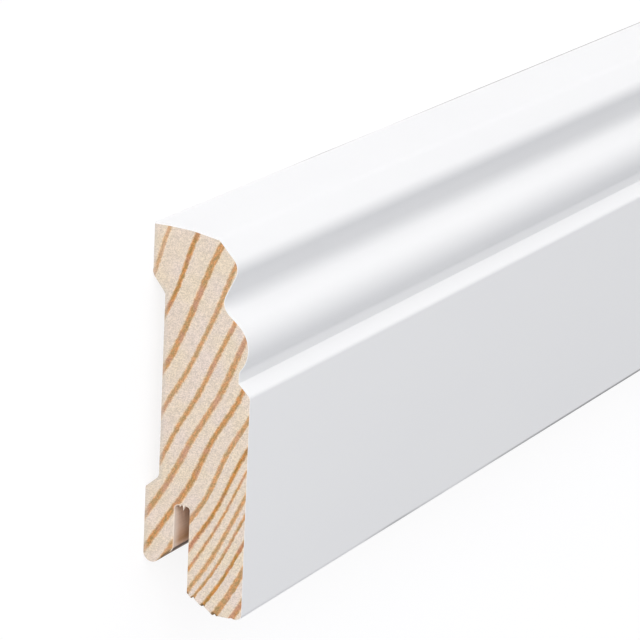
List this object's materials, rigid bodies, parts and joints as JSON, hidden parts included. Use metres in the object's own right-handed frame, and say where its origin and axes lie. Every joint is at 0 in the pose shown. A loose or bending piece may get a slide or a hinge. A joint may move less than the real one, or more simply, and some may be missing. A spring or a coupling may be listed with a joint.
{
  "type": "skirting board",
  "caption": "Moulded pine skirting board length with a white lacquered face, raw sawn ends, a relieved back and a clip slot in its foot.",
  "frame": {"origin": "middle of the board's length and height, on the plane of its wall side, where it lies on a level floor", "axes": "+X along the board, +Y from its foot to its top edge, +Z from the wall side out to the front face"},
  "size_m": [2.4, 0.07, 0.02],
  "materials": {
    "lacquered_pine": "opaque white lacquer on the top and the moulded front, raw planed pine on the back, the slot and the foot, sawn pine on the ends"
  },
  "bodies": {
    "root": {"skirting_board": "lacquered_pine"}
  },
  "joints": []
}
